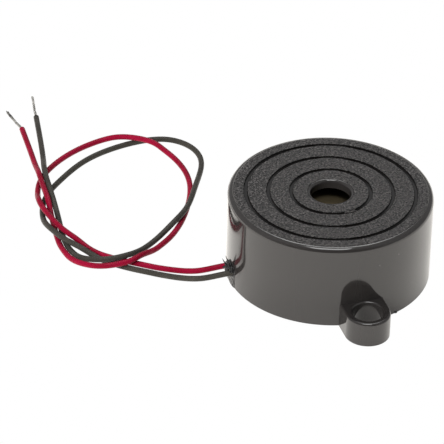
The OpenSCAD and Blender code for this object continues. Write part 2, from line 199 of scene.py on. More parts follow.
BLACK_ROUTE = np.array([
    [10, 4.3, 0], [13, 6.5, 0], [16, 9.2, 0], [17.7, 11.1, 0.3], [19.4, 12.8, 1], [20.9, 15.3, 1],
    [21.8, 17.6, 1], [22.2, 20.4, 0.5], [22, 23, 0], [21.2, 25.9, 0], [19.4, 29.1, 0],
    [16.5, 32.2, 0], [12, 35.9, 0], [6.5, 38.3, 0], [1, 39.1, 0], [-2.6, 38.2, 0], [-5, 35.4, 0],
    [-5.4, 31.6, 0], [-4, 27.8, 0.1], [-2.1, 23.9, 0.7], [0.4, 19.2, 1], [2.2, 16.9, 1],
    [4.2, 15.1, 0.8], [6.8, 13.2, 0.2], [9.5, 11.2, 0.1], [12, 9.2, 0.8], [14.4, 8.5, 1],
    [16.6, 8.5, 1], [18.5, 9.4, 0.8], [19.8, 11.4, 0.2], [20.5, 14.5, 0], [20.4, 18, 0],
    [19.8, 22.4, 0], [19.5, 26, 0.6], [19.3, 29, 1], [19, 32, 1], [18.5, 35, 0.8], [17.7, 38.4, 0.1],
    [15.6, 50, 0],
])
RED_TIP = np.array([[0.3, 1.8], [0.6, 3.8], [0.9, 6]])
BLACK_TIP = np.array([[-0.3, 2], [-0.7, 4.1], [-1.1, 6.2]])


def lead_points(side, route):
    """The lead's chosen points in metres: inside the wall, down to the table, then along the route."""
    inside = [-(INNER_R - LEAD_INSIDE), side * EXIT_Y, EXIT_Z]
    fall = np.stack([
        -CASE_R - FALL[:, 0] * MM,
        side * EXIT_Y + FALL[:, 1] * MM,
        LEAD_R + FALL[:, 2] * (EXIT_Z - LEAD_R),
    ], 1)
    lying = np.stack([
        -CASE_R - route[:, 0] * MM,
        route[:, 1] * MM,
        LEAD_R + route[:, 2] * LAY_OVER * 2 * LEAD_R,
    ], 1)
    return np.vstack([[inside], fall, lying])


def smooth_line(points, step):
    """A natural cubic spline through the points, read at even steps of length.

    The parameter grows by the square root of each gap. The second derivatives m solve the usual
    three-term equations, and a point between two knots is a blend of both ends and both m."""
    t = np.concatenate([[0], np.cumsum(np.linalg.norm(np.diff(points, axis=0), axis=1) ** 0.5)])
    h = np.diff(t)
    n = len(t)
    system = np.eye(n)
    rows = np.arange(1, n - 1)
    system[rows, rows - 1] = h[:-1]
    system[rows, rows] = 2 * (h[:-1] + h[1:])
    system[rows, rows + 1] = h[1:]
    slopes = np.diff(points, axis=0) / h[:, None]
    right = np.zeros_like(points)
    right[1:-1] = 6 * np.diff(slopes, axis=0)
    m = np.linalg.solve(system, right)
    fine = np.linspace(0, t[-1], SPLINE_SAMPLES)
    k = np.clip(np.searchsorted(t, fine, side="right") - 1, 0, n - 2)
    a, b = ((t[k + 1] - fine) / h[k])[:, None], ((fine - t[k]) / h[k])[:, None]
    bend = ((a ** 3 - a) * m[k] + (b ** 3 - b) * m[k + 1]) * (h[k] ** 2)[:, None] / 6
    line = a * points[k] + b * points[k + 1] + bend
    line[:, 2] = np.maximum(line[:, 2], min(LEAD_R, points[:, 2].min()))
    length = np.concatenate([[0], np.cumsum(np.linalg.norm(np.diff(line, axis=0), axis=1))])
    even = np.linspace(0, length[-1], max(8, int(round(length[-1] / step))))
    return np.stack([np.interp(even, length, line[:, c]) for c in range(3)], 1), length[-1]


red_line, red_length = smooth_line(lead_points(1, RED_ROUTE), RING_STEP)
black_line, black_length = smooth_line(lead_points(-1, BLACK_ROUTE), RING_STEP)
closest = np.linalg.norm(red_line[:, None] - black_line[None], axis=2).min()
print(f"red {1000 * red_length:.1f} mm, black {1000 * black_length:.1f} mm, closest {1000 * closest:.2f} mm")

# %% [markdown]
# ## A tube along a line
# A lead is a round section carried along its centre line. At each point of the
# line two directions span the section: one level, one square to it and to the
# line. The radius can change along the length, which rounds the cut end of the
# insulation. The distance along the tube and round it is kept as a UV map. No
# finish here reads it: it is left for a stripe or a mark that has to run along
# the wire.

# %% Tube surface
def level_frame(line):
    """Unit vectors along, sideways (level) and upwards at each point of a line."""
    along = np.gradient(line, axis=0)
    along /= np.linalg.norm(along, axis=1, keepdims=True)
    side = np.cross([0, 0, 1], along)
    side /= np.linalg.norm(side, axis=1, keepdims=True)
    return along, side, np.cross(along, side)


def tube_points(line, radius, sides):
    """Point (i, k) is line[i] + radius[i] * (cos of turn k * side + sin of turn k * up)."""
    _, side, up = level_frame(line)
    turn = 2 * np.pi * np.arange(sides) / sides
    ring = np.cos(turn)[None, :, None] * side[:, None] + np.sin(turn)[None, :, None] * up[:, None]
    return line[:, None] + np.asarray(radius)[:, None, None] * ring


def add_tube_uv(piece, columns, lengths):
    """UV map: u is the turn round the tube from 0 to 1, v the distance along it in centimetres."""
    mesh = piece.data
    layer = mesh.uv_layers.new(name="along")
    corner = np.zeros(len(mesh.loops), int)
    mesh.loops.foreach_get("vertex_index", corner)
    row, column = corner // columns, corner % columns
    uv = np.stack([column / columns, np.asarray(lengths)[row] * 100], 1)
    layer.data.foreach_set("uv", uv.ravel())


CUT_EDGE = 0.08 * MM


def insulation(name, line, sides=20):
    """A lead's insulation: a full-width tube whose last CUT_EDGE turns in to a flat cut end."""
    out = line[-1] - line[-2]
    out /= np.linalg.norm(out)
    turn = np.linspace(0, np.pi / 2, 5)[1:]
    end = line[-1] + out * CUT_EDGE * np.sin(turn)[:, None]
    full_line = np.vstack([line, end, end[-1:] + out * 1e-7, end[-1:] + out * 2e-7])
    radius = np.concatenate([
        np.full(len(line), LEAD_R),
        LEAD_R - CUT_EDGE + CUT_EDGE * np.cos(turn),
        [STRAND_R * 1.2, STRAND_R * 0.9],
    ])
    piece = grid_piece(name, tube_points(full_line, radius, sides), caps=(True, True))
    lengths = np.concatenate([[0], np.cumsum(np.linalg.norm(np.diff(full_line, axis=0), axis=1))])
    add_tube_uv(piece, sides, lengths)
    return outward(piece)


red_lead = insulation("red_lead_insulation", red_line)
black_lead = insulation("black_lead_insulation", black_line)

# %% [markdown]
# ## The bare ends
# The last few millimetres of each lead are stripped. Seven thin tinned strands
# show there, twisted together. One strand runs straight down the middle, and
# six wind round it as long screws, slightly uneven, and spread a little at
# the very tip where the cutter left them.

# %% Twisted strands
WIRE_R = 0.07 * MM
WIRE_STEP = 0.12 * MM
WIRE_SIDES = 8


def tip_points(line, tip):
    """The bare end's chosen points: on from the lead's end, sinking until the strands touch the table."""
    end = line[-1]
    share = (np.arange(len(tip)) + 1) / len(tip)
    low = STRAND_R + (LEAD_R - STRAND_R) * (1 - share)
    rest = np.stack([end[0] - tip[:, 0] * MM, end[1] + tip[:, 1] * MM, low], 1)
    into = end - (line[-1] - line[-4])
    return np.vstack([[into], [end], rest])


def twisted(name, line, tip, turns, seed):
    """Strand k sits at the centre line + apart * (cos(angle + k/6 turn) * side + sin(...) * up)."""
    centre, _ = smooth_line(tip_points(line, tip), WIRE_STEP)
    _, side, up = level_frame(centre)
    s = np.linspace(0, 1, len(centre))
    chance = np.random.default_rng(seed)
    grids = [tube_points(centre, np.full(len(centre), WIRE_R), WIRE_SIDES)]
    for k in range(6):
        angle = 2 * np.pi * (turns * s + k / 6) + 0.3 * np.sin(9 * s + chance.uniform(0, 6))
        wander = 1 + 0.1 * np.sin(14 * s + chance.uniform(0, 6))
        wander = wander + 0.25 * np.clip((s - 0.9) * 10, 0, 1) * chance.uniform(0, 1)
        apart = 2 * WIRE_R * wander
        strand = centre + apart[:, None] * (np.cos(angle)[:, None] * side + np.sin(angle)[:, None] * up)
        strand[:, 2] = np.maximum(strand[:, 2], WIRE_R)
        keep = len(centre) - chance.integers(0, 5)
        grids.append(tube_points(strand[:keep], np.full(keep, WIRE_R), WIRE_SIDES))
    strands = [grid_piece(f"{name}_{k}", g, caps=(True, True)) for k, g in enumerate(grids)]
    return joined(name, strands)


def joined(name, parts):
    """One piece from several: their corners in one list, and each face's corner numbers moved on by
    the count of corners before its part."""
    corners, face_corners, face_sizes, start = [], [], [], 0
    for part in parts:
        mesh = part.data
        place = np.zeros(len(mesh.vertices) * 3)
        mesh.vertices.foreach_get("co", place)
        corners.append(place)
        numbers = np.zeros(len(mesh.loops), np.int32)
        mesh.loops.foreach_get("vertex_index", numbers)
        face_corners.append(numbers + start)
        sizes = np.zeros(len(mesh.polygons), np.int32)
        mesh.polygons.foreach_get("loop_total", sizes)
        face_sizes.append(sizes)
        start += len(mesh.vertices)
        bpy.data.objects.remove(part)
        bpy.data.meshes.remove(mesh)
    face_corners, face_sizes = np.concatenate(face_corners), np.concatenate(face_sizes)
    mesh = bpy.data.meshes.new(name)
    mesh.vertices.add(start)
    mesh.vertices.foreach_set("co", np.concatenate(corners))
    mesh.loops.add(len(face_corners))
    mesh.loops.foreach_set("vertex_index", face_corners)
    mesh.polygons.add(len(face_sizes))
    mesh.polygons.foreach_set("loop_start", (np.cumsum(face_sizes) - face_sizes).astype(np.int32))
    mesh.update(calc_edges=True)
    mesh.validate()
    mesh.polygons.foreach_set("use_smooth", np.ones(len(mesh.polygons), bool))
    piece = bpy.data.objects.new(name, mesh)
    bpy.context.scene.collection.objects.link(piece)
    return outward(piece)


red_tip = twisted("red_bare_strands", red_line, RED_TIP, 1.0, 1)
black_tip = twisted("black_bare_strands", black_line, BLACK_TIP, 0.9, 2)

# %% [markdown]
# ## The case's shell
# The shell is a turned shape: one section carried round the middle. The section
# is a polygon with a small radius at each corner, because a mould never leaves
# a knife edge, and the small radii are what catch the light on black plastic.
# The innermost groove stops short over twenty degrees, so its depth fades to
# almost nothing there.

# %% Section with rounded corners
FLAT_STEP = 0.02 * MM


def rounded(corners, steps=5):
    """A closed outline from (r, z, radius) corners: each corner becomes an arc that touches both sides.
    A point FLAT_STEP along each side keeps the flat beside the arc flat when it is shaded smooth."""
    c = np.array(corners, float)
    before, after = np.roll(c, 1, 0), np.roll(c, -1, 0)
    to_before = before[:, :2] - c[:, :2]
    to_after = after[:, :2] - c[:, :2]
    to_before /= np.linalg.norm(to_before, axis=1, keepdims=True)
    to_after /= np.linalg.norm(to_after, axis=1, keepdims=True)
    half = np.arccos(np.clip((to_before * to_after).sum(1), -1, 1)) / 2
    reach = c[:, 2] / np.tan(half)
    first = c[:, :2] + to_before * reach[:, None]
    last = c[:, :2] + to_after * reach[:, None]
    middle = to_before + to_after
    middle /= np.linalg.norm(middle, axis=1, keepdims=True)
    centre = c[:, :2] + middle * (c[:, 2] / np.sin(half))[:, None]
    a, b = first - centre, last - centre
    sweep = (np.pi - 2 * half)[:, None, None]
    s = np.linspace(0, 1, steps)[None, :, None]
    arc = (a[:, None] * np.sin((1 - s) * sweep) + b[:, None] * np.sin(s * sweep)) / np.sin(sweep)
    points = np.concatenate([
        (first + to_before * FLAT_STEP)[:, None],
        centre[:, None] + arc,
        (last + to_after * FLAT_STEP)[:, None],
    ], 1)
    return points.reshape(-1, 2)


def groove_corners(r, depth):
    """The four corners of a groove in the top, from its outer side to its inner side."""
    outer, inner, floor = r + GROOVE_W / 2, r - GROOVE_W / 2, CASE_H - depth
    return [
        (outer, CASE_H, GROOVE_LIP_R),
        (outer, floor, GROOVE_ROOT_R),
        (inner, floor, GROOVE_ROOT_R),
        (inner, CASE_H, GROOVE_LIP_R),
    ]


def shell_section(inner_depth):
    """The shell's closed section, from the foot of the wall, up, in over the top and back inside."""
    ceiling, seat = CASE_H - TOP, plate_hi[2]
    return rounded([
        (INNER_R, 0, SMALL_R),
        (CASE_R, 0, FOOT_R),
        (CASE_R, CASE_H, TOP_EDGE_R),
        *groove_corners(GROOVES[2], GROOVE_DEPTH),
        *groove_corners(GROOVES[1], GROOVE_DEPTH),
        *groove_corners(GROOVES[0], inner_depth),
        (SOUND_R, CASE_H, SOUND_RIM_R),
        (SOUND_R, ceiling, SMALL_R),
        (INNER_R - LEDGE, ceiling, SMALL_R),
        (INNER_R - LEDGE, seat, SMALL_R),
        (INNER_R, seat, SMALL_R),
    ])


GAP_MIDDLE = math.radians(-80)
GAP_HALF = math.radians(10)
GAP_FADE = math.radians(2.5)
NEARLY_FLAT = 0.02


def case_shell(columns=320):
    """Row i, column j is section point i at turn j. Within its gap the inner groove's depth falls to a
    hair, but the roundings of its corners keep their radius. They don't fit on so short a side, so the
    section folds over itself there and stands up to 0.08 mm proud of the top, which is a known fault."""
    turn = 2 * np.pi * np.arange(columns) / columns
    full, flat = shell_section(GROOVE_DEPTH), shell_section(GROOVE_DEPTH * NEARLY_FLAT)
    away = np.abs((turn - GAP_MIDDLE + np.pi) % (2 * np.pi) - np.pi)
    depth = np.clip((away - GAP_HALF) / GAP_FADE + 0.5, 0, 1)
    depth = depth * depth * (3 - 2 * depth)
    section = flat[:, None] + (full - flat)[:, None] * depth[None, :, None]
    radius, height = section[..., 0], section[..., 1]
    points = np.stack([radius * np.cos(turn), radius * np.sin(turn), height], -1)
    return outward(grid_piece("case_shell", points, close_rows=True))


shell = case_shell()

# %% [markdown]
# ## The ears
# Each ear is a block with a round end and a screw hole, moulded on to the foot
# of the wall. Its outline is a half circle carried on by two straight sides
# that run into the wall. One closed loop goes up the outside, over a rounded
# rim, across the top, down the hole and back below, and that loop is carried
# round the hole.

# %% Ears
def ear_outline(turn):
    """Distance from the hole's centre to the ear's edge: EAR_R on the round side, the straight sides
    or the end inside the wall on the other, whichever is nearer along that direction."""
    root = EAR_AT - (INNER_R + WALL / 2)
    toward_wall = np.cos(turn)
    across = np.abs(np.sin(turn))
    straight = np.minimum(EAR_R / np.maximum(across, 1e-6), root / np.maximum(toward_wall, 1e-6))
    return np.where(toward_wall > 0, straight, EAR_R)


def ear(name, side, columns=144):
    """Row i is a step along the section, column j a turn round the hole. The section is drawn 1 mm wide:
    its outer half is measured in from the ear's edge, and its inner half out from the hole."""
    turn = 2 * np.pi * (np.arange(columns) + 0.5) / columns
    section = rounded([
        (0, 0, SMALL_R), (1 * MM, 0, FOOT_R), (1 * MM, EAR_H, EAR_RIM_R), (0, EAR_H, EAR_LIP_R),
    ], steps=7)
    share, height = section[:, :1] / MM, section[:, 1]
    out = np.where(share > 0.5, ear_outline(turn) - (1 - share) * MM, EAR_HOLE_R + share * MM)
    x = -out * np.sin(turn) * side
    y = side * (EAR_AT - out * np.cos(turn))
    z = np.repeat(height[:, None], columns, 1)
    return outward(grid_piece(name, np.stack([x, y, z], -1), close_rows=True))


front_ear = ear("front_ear", -1)
back_ear = ear("back_ear", 1)

# %% [markdown]
# ## A burr on the foot
# A little plastic was squeezed out where the mould closed, and it stands as a
# burr on the case's lower edge. A burr, like a lump of adhesive, is a ball
# pulled out to three half sizes with a few bumps added to its radius, so one
# function makes both.

# %% Uneven lump
SOFTEST_BUMP = 0.02
ABOVE_TABLE = 0.03 * MM


def lump(name, centre, half, bumps, sharpest, seed, rows=90, columns=130):
    """The radius in direction d is 1 / |d / half size|, multiplied by 1 + each bump in turn, where a bump
    is a bell round its own direction. Nothing of it goes below the foot."""
    polar = (np.pi * (np.arange(rows) + 0.5) / rows)[:, None]
    turn = 2 * np.pi * np.arange(columns) / columns
    d = np.stack(np.broadcast_arrays(
        np.sin(polar) * np.cos(turn), np.sin(polar) * np.sin(turn), np.cos(polar),
    ), -1)
    radius = 1 / np.linalg.norm(d / half, axis=-1)
    chance = np.random.default_rng(seed)
    for _ in range(bumps):
        way = chance.normal(size=3) * [1, 1.2, 1] - [0.7, 0, 0]
        way /= np.linalg.norm(way)
        swell = chance.uniform(-0.12, 0.26)
        radius *= 1 + swell * np.exp(-(1 - d @ way) / chance.uniform(sharpest, SOFTEST_BUMP))
    points = centre + radius[..., None] * d
    points[..., 2] = np.maximum(points[..., 2], ABOVE_TABLE)
    return outward(grid_piece(name, points, caps=(True, True)))


BURR_TURN = math.radians(22 - 90)
BURR_HALF = np.array([0.30, 0.22, 0.12]) * MM
burr_at = np.array([CASE_R * math.cos(BURR_TURN), CASE_R * math.sin(BURR_TURN), BURR_HALF[2]])
burr = lump("burr", burr_at, BURR_HALF, bumps=8, sharpest=0.01, seed=3, rows=24, columns=32)
case_piece = joined("case_moulding", [shell, front_ear, back_ear, burr])

# %% [markdown]
# ## The sealant
# Where the leads leave, the slot in the wall is closed with black adhesive that
# was pressed in by hand, so it stands out as an uneven shiny lump. Under it a
# thin skin of adhesive fills the slot down to the foot, and threads that the
# nozzle pulled off stand out as thin points.

# %% Sealant skin and threads
SLOT_HALF = 1.7 * MM
SLOT_TOP = 3.0 * MM
SKIN_THICK = 0.3 * MM
THREAD_STEP = 0.05 * MM
THREAD_TIP_R = 0.004 * MM
LUMP_AT = np.array([-CASE_R - 0.05 * MM, 0.05 * MM, 2.45 * MM])
LUMP_HALF = np.array([0.72, 1.6, 0.92]) * MM
THREADS = {
    "thread_a": (
        [[-15.2, -0.4, 2.9], [-15.5, -0.5, 3.8], [-15.8, -0.4, 4.6], [-15.95, -0.3, 5.1]], 0.14 * MM,
    ),
    "thread_b": ([[-15.5, 0.3, 2.9], [-15.9, 0.4, 3.5], [-16.15, 0.5, 4.1]], 0.12 * MM),
    "thread_c": ([[-15.3, -1.2, 2.6], [-15.7, -1.7, 3.3], [-15.75, -2.0, 3.8]], 0.1 * MM),
}


def sealant_patch(rows=40, columns=30):
    """The filled slot, from one side of it to the other: the outer skin's radius is CASE_R + rise, where
    rise is a gently waving tenth of a millimetre that falls to a hair at both sides and the top."""
    up = np.linspace(0, 1, rows)[:, None]
    across = np.linspace(-1, 1, columns)[None]
    edge = np.clip((1 - np.abs(across)) * 6, 0, 1) * np.clip((1 - up) * 8, 0, 1)
    rise = (0.02 + 0.10 * edge + 0.03 * np.sin(17 * up + 4 * across) * edge) * MM
    angle = np.pi + across * SLOT_HALF / CASE_R
    height = ABOVE_TABLE + up * SLOT_TOP

    def bent_sheet(radius):
        return np.stack(np.broadcast_arrays(radius * np.cos(angle), radius * np.sin(angle), height), -1)

    loop = np.concatenate([bent_sheet(CASE_R + rise), bent_sheet(CASE_R - SKIN_THICK)[:, ::-1]], 1)
    return outward(grid_piece("sealant_patch", loop, caps=(True, True)))


def drawn_thread(name, points, thick):
    """A thread pulled from wet adhesive: a tube along a spline whose radius shrinks to a point."""
    line, _ = smooth_line(np.array(points) * MM, THREAD_STEP)
    share = np.linspace(0, 1, len(line))
    radius = thick * (1 - share) ** 0.6 + THREAD_TIP_R
    return grid_piece(name, tube_points(line, radius, 8), caps=(True, True))


sealant = joined("lead_sealant_lump", [
    lump("sealant_lump", LUMP_AT, LUMP_HALF, bumps=110, sharpest=0.003, seed=7),
    sealant_patch(),
    *[drawn_thread(name, points, thick) for name, (points, thick) in THREADS.items()],
])

# %% [markdown]
# ## Finishes
# Every finish is worked out from the place of a point on the object. A finish
# is more than a colour: how rough it is decides how sharp the reflections are,
# and fine bumps break them up. These small helpers add a node and join it, so
# that each finish below reads as a list.

# %% Helpers for finishes
def finish_of(name, colour, roughness, metallic=0.0, **sockets):
    """A new material with its main shader set; further sockets are given by name with _ for a space."""
    material = bpy.data.materials.new(name)
    material.use_nodes = True
    shader = material.node_tree.nodes["Principled BSDF"]
    shader.inputs["Base Color"].default_value = (*colour, 1)
    shader.inputs["Roughness"].default_value = roughness
    shader.inputs["Metallic"].default_value = metallic
    for socket, value in sockets.items():
        shader.inputs[socket.replace("_", " ")].default_value = value
    return material


def add(material, kind, links=(), **values):
    """A node of that kind, in a material or the sky; links are (its input, from node, from output), with
    names or numbers for the sockets, and values are its other inputs."""
    node = material.node_tree.nodes.new(kind)
    for socket, value in values.items():
        node.inputs[socket.replace("_", " ")].default_value = value
    for socket, source, output in links:
        material.node_tree.links.new(source.outputs[output], node.inputs[socket])
    return node


def maths(material, operation, a, b=None):
    """One arithmetic step on node outputs or plain numbers."""
    node = material.node_tree.nodes.new("ShaderNodeMath")
    node.operation = operation
    for k, value in enumerate(v for v in (a, b) if v is not None):
        if isinstance(value, (int, float)):
            node.inputs[k].default_value = value
        else:
            material.node_tree.links.new(value, node.inputs[k])
    return node.outputs[0]


def times(material, a, b):
    return maths(material, "MULTIPLY", a, b)


def plus(material, a, b):
    return maths(material, "ADD", a, b)


def less(material, a, b):
    return maths(material, "SUBTRACT", a, b)


def to_shader(material, socket, output):
    """Joins an output to one of the main shader's sockets."""
    material.node_tree.links.new(output, material.node_tree.nodes["Principled BSDF"].inputs[socket])


def place_of(material):
    """The point's own place in the piece, in metres."""
    return add(material, "ShaderNodeTexCoord").outputs["Object"]


def noise_at(material, coordinates, scale, detail=2.0, rough=0.5):
    """Cloudy noise with about that many patches a metre; it runs mostly from 0.3 to 0.7."""
    node = add(material, "ShaderNodeTexNoise", Scale=scale, Detail=detail, Roughness=rough)
    material.node_tree.links.new(coordinates, node.inputs["Vector"])
    return node.outputs["Fac"]


def spread(material, value, low, high):
    """Stretches a value that runs about 0.3 to 0.7, as noise does, to run from low to high."""
    node = add(material, "ShaderNodeMapRange", From_Min=0.3, From_Max=0.7, To_Min=low, To_Max=high)
    material.node_tree.links.new(value, node.inputs["Value"])
    return node.outputs["Result"]


def between(material, value, at_0, at_1):
    """0 where a value is at_0 or past it, 1 where it is at_1 or past it, and an even change between."""
    node = add(material, "ShaderNodeMapRange", From_Min=at_0, From_Max=at_1)
    material.node_tree.links.new(value, node.inputs["Value"])
    return node.outputs["Result"]


def bumpy(material, height, distance):
    """Joins a height to the shader's normal, with that real depth in metres."""
    node = add(material, "ShaderNodeBump", Strength=1.0, Distance=distance)
    material.node_tree.links.new(height, node.inputs["Height"])
    to_shader(material, "Normal", node.outputs["Normal"])


def shades(material, value, dark, light):
    """Base colour that runs from dark to light with value."""
    node = material.node_tree.nodes.new("ShaderNodeMix")
    node.data_type = "RGBA"
    node.inputs["A"].default_value = (*dark, 1)
    node.inputs["B"].default_value = (*light, 1)
    material.node_tree.links.new(value, node.inputs["Factor"])
    to_shader(material, "Base Color", node.outputs["Result"])


# %% [markdown]
# ## The case's plastic
# The case is one moulding with two finishes. Its side is polished, so it
# mirrors the table, the ear and the leads. Its top was textured in the mould
# with a fine grain that scatters light, and pale specks on the grain are
# painted glints: light painted into its colour. The grooves and the inside
# get painted shade, a colour darker than the polished side's. The finish
# tells them apart by the point's height and its distance from the middle.
# Two small pale specks are painted on the wall.

# %% Case plastic
CASE_DARK, CASE_GLINT_AND_SPECK_COLOUR = (0.003, 0.0026, 0.0024), (0.11, 0.101, 0.098)
POLISHED_TONE = 0.14
GRAIN_SCALE, GRAIN_DEPTH = 3400, 0.6 * MM
WAVE_SCALE, WAVE_SHARE = 160, 0.012
# Two small pale specks on the wall: turn in degrees, height and radius.
PALE_WALL_SPECKS = [(22, 10.3 * MM, 0.13 * MM), (9.5, 9.5 * MM, 0.10 * MM)]


def wall_speck_mask(material, place):
    """1 in the middle of either pale speck on the wall, which the list above gives as its turn in degrees,
    height and radius, and 0 past that radius."""
    specks = []
    for turn, height, radius in PALE_WALL_SPECKS:
        angle = math.radians(turn - 90)
        apart = material.node_tree.nodes.new("ShaderNodeVectorMath")
        apart.operation = "DISTANCE"
        apart.inputs[1].default_value = (CASE_R * math.cos(angle), CASE_R * math.sin(angle), height)
        material.node_tree.links.new(place, apart.inputs[0])
        specks.append(between(material, apart.outputs["Value"], radius, radius * 0.6))
    return plus(material, *specks)


def case_plastic():
    """on_top is 1 at the top's own height, within is 1 short of its rounded rim, and beyond is 1 clear of
    the hole's lip. All three together are the textured part. Within and beyond without on_top are the
    grooves and the inside. They get painted shade: they are left out of the polished tone, so their colour
    is darker."""
    material = finish_of("case_plastic", (0.017, 0.016, 0.0155), 0.08, IOR=1.52)
    place = place_of(material)
    parts = add(material, "ShaderNodeSeparateXYZ", [("Vector", place.node, "Object")])
    x, y, z = (parts.outputs[axis] for axis in "XYZ")
    from_middle = maths(material, "SQRT", plus(material, times(material, x, x), times(material, y, y)))
    on_top = between(material, z, CASE_H - 0.03 * MM, CASE_H - 0.008 * MM)
    within = between(material, from_middle, CASE_R - 0.72 * MM, CASE_R - 0.82 * MM)
    beyond = between(material, from_middle, SOUND_R + 0.42 * MM, SOUND_R + 0.52 * MM)
    painted_shade_recess = times(material, less(material, 1.0, on_top), times(material, within, beyond))
    textured = times(material, times(material, on_top, within), beyond)
    smooth = less(material, 1.0, textured)

    grain = noise_at(material, place, GRAIN_SCALE, 2.0, 0.7)
    waves = noise_at(material, place, WAVE_SCALE, 2.0)
    dull = times(material, textured, spread(material, grain, 0.24, 0.46))
    shiny = times(material, smooth, spread(material, waves, 0.07, 0.11))
    to_shader(material, "Roughness", plus(material, dull, shiny))

    # Painted glints: the grain's highest patches on the textured top are painted in the pale colour.
    specks = times(material, textured, between(material, grain, 0.48, 0.63))
    # Painted shade: the grooves and the inside are taken out of the polished tone and keep the darkest
    # colour.
    polished = times(material, less(material, smooth, painted_shade_recess), POLISHED_TONE)
    tone = plus(material, plus(material, specks, polished), wall_speck_mask(material, place))
    shades(material, tone, CASE_DARK, CASE_GLINT_AND_SPECK_COLOUR)
    height = plus(material, times(material, textured, grain), times(material, waves, WAVE_SHARE))
    bumpy(material, height, GRAIN_DEPTH)
    return material


# %% [markdown]
# ## The leads' insulation
# The leads are covered in soft PVC with a satin skin. Its colour is even, with
# faint clouds in it, and its surface is very slightly wavy from being drawn
# over the strands. Its shine is kept low: on a white table a stronger one draws
# a pale line along each side of a wire this thin and makes it look thinner.

# %% Lead insulation
def insulation_finish(name, dark, light, roughness):
    """Soft PVC whose tone, shine and height each follow a noise of their own."""
    material = finish_of(name, light, roughness, Specular_IOR_Level=0.07)
    place = place_of(material)
    clouds = noise_at(material, place, 350, 3.0)
    shades(material, spread(material, clouds, 0.0, 1.0), dark, light)
    haze = noise_at(material, place, 2500, 2.0)
    to_shader(material, "Roughness", spread(material, haze, roughness - 0.06, roughness + 0.08))
    bumpy(material, noise_at(material, place, 1500, 2.0), 0.01 * MM)
    return material


# %% [markdown]
# ## Metals, board and small parts
# The inner pieces are hidden behind the plate, but the part may be opened or
# cut in a scene, so each has its own finish: rolled brass, printed silver,
# dull ferrite, wound copper, green board and bright solder. The brass is
# given a colour far darker than bright brass, which is painted shade for the
# dark inside of the sound hole, where the plate shows.

# %% Small finishes
def metal_finish(name, dark, light, roughness, scale=900, depth=0.004 * MM, stretch=(1, 1, 1)):
    """A metal whose tone and roughness wander. The place is multiplied by stretch first, so that under 1
    draws the pattern out along that axis and over 1 squeezes it."""
    material = finish_of(name, light, roughness, 1.0)
    place = place_of(material)
    mapping = add(material, "ShaderNodeMapping", [("Vector", place.node, "Object")], Scale=stretch)
    pattern = noise_at(material, mapping.outputs["Vector"], scale, 3.0)
    shades(material, spread(material, pattern, 0.0, 1.0), dark, light)
    to_shader(material, "Roughness", spread(material, pattern, roughness - 0.08, roughness + 0.1))
    bumpy(material, pattern, depth)
    return material


def plastic_finish(name, dark, light, roughness, scale=1500, depth=0.01 * MM):
    """A plastic, rubber or ceramic whose tone wanders a little."""
    material = finish_of(name, light, roughness)
    pattern = noise_at(material, place_of(material), scale, 3.0)
    shades(material, spread(material, pattern, 0.0, 1.0), dark, light)
    to_shader(material, "Roughness", spread(material, pattern, roughness - 0.05, roughness + 0.08))
    bumpy(material, pattern, depth)
    return material


FINISHES = {
    "case_plastic": case_plastic(),
    "red_insulation": insulation_finish(
        "red_insulation", (0.15, 0.002, 0.013), (0.21, 0.003, 0.022), 0.42),
    "black_insulation": insulation_finish(
        "black_insulation", (0.028, 0.026, 0.022), (0.040, 0.037, 0.032), 0.42),
    "sealant": plastic_finish("sealant", (0.006, 0.006, 0.006), (0.016, 0.016, 0.016), 0.1, 2400, 0.3 * MM),
    "tinned_strands": metal_finish("tinned_strands", (0.04, 0.038, 0.035), (0.62, 0.61, 0.58), 0.3, 1000),
    "cover_plastic": plastic_finish("cover_plastic", (0.02, 0.02, 0.02), (0.035, 0.035, 0.035), 0.45),
    # Painted shade: the brass colour is kept far darker than brass, for the dark inside of the sound hole.
    "brass": metal_finish("brass", (0.12, 0.10, 0.062), (0.17, 0.14, 0.088), 0.9, 500, stretch=(1, 12, 1)),
    "ceramic": plastic_finish("ceramic", (0.55, 0.52, 0.46), (0.68, 0.65, 0.58), 0.5),
    "silvering": metal_finish("silvering", (0.66, 0.66, 0.64), (0.82, 0.82, 0.80), 0.42),
    "silicone": plastic_finish("silicone", (0.70, 0.70, 0.68), (0.82, 0.82, 0.80), 0.35),
    "board": plastic_finish("board", (0.012, 0.10, 0.03), (0.02, 0.16, 0.05), 0.35),
    "moulded_body": plastic_finish("moulded_body", (0.012, 0.012, 0.013), (0.03, 0.03, 0.032), 0.5),
    "tinned_metal": metal_finish("tinned_metal", (0.55, 0.55, 0.53), (0.72, 0.72, 0.70), 0.28),
    "ferrite": plastic_finish("ferrite", (0.02, 0.02, 0.022), (0.05, 0.05, 0.052), 0.55),
    "enamelled_copper": metal_finish(
        "enamelled_copper", (0.35, 0.12, 0.04), (0.62, 0.26, 0.11), 0.28, 2500, 0.03 * MM,
        stretch=(0.05, 0.05, 4)),
    "chip_ceramic": plastic_finish("chip_ceramic", (0.30, 0.20, 0.11), (0.42, 0.30, 0.18), 0.5),
    "wire_insulation": plastic_finish("wire_insulation", (0.35, 0.02, 0.015), (0.5, 0.035, 0.025), 0.4),
    "solder": metal_finish("solder", (0.50, 0.50, 0.48), (0.70, 0.70, 0.68), 0.25),
}
print(len(FINISHES), "finishes")

# %% [markdown]
# ## The ready-made pieces get their finish
# The frame's record says which material slot each piece belongs to. The slots
# and the finishes share their names, so each piece finds its own.

# %% Dress the ready-made nodes
slot_of = {entry["node"]: entry["material_slot"] for entry in frame["record"]["subparts"]}
for name, node in nodes.items():
    node.data.materials.clear()
    node.data.materials.append(FINISHES[slot_of[name]])
print(len(nodes), "pieces dressed in", len(set(slot_of.values())), "slots")

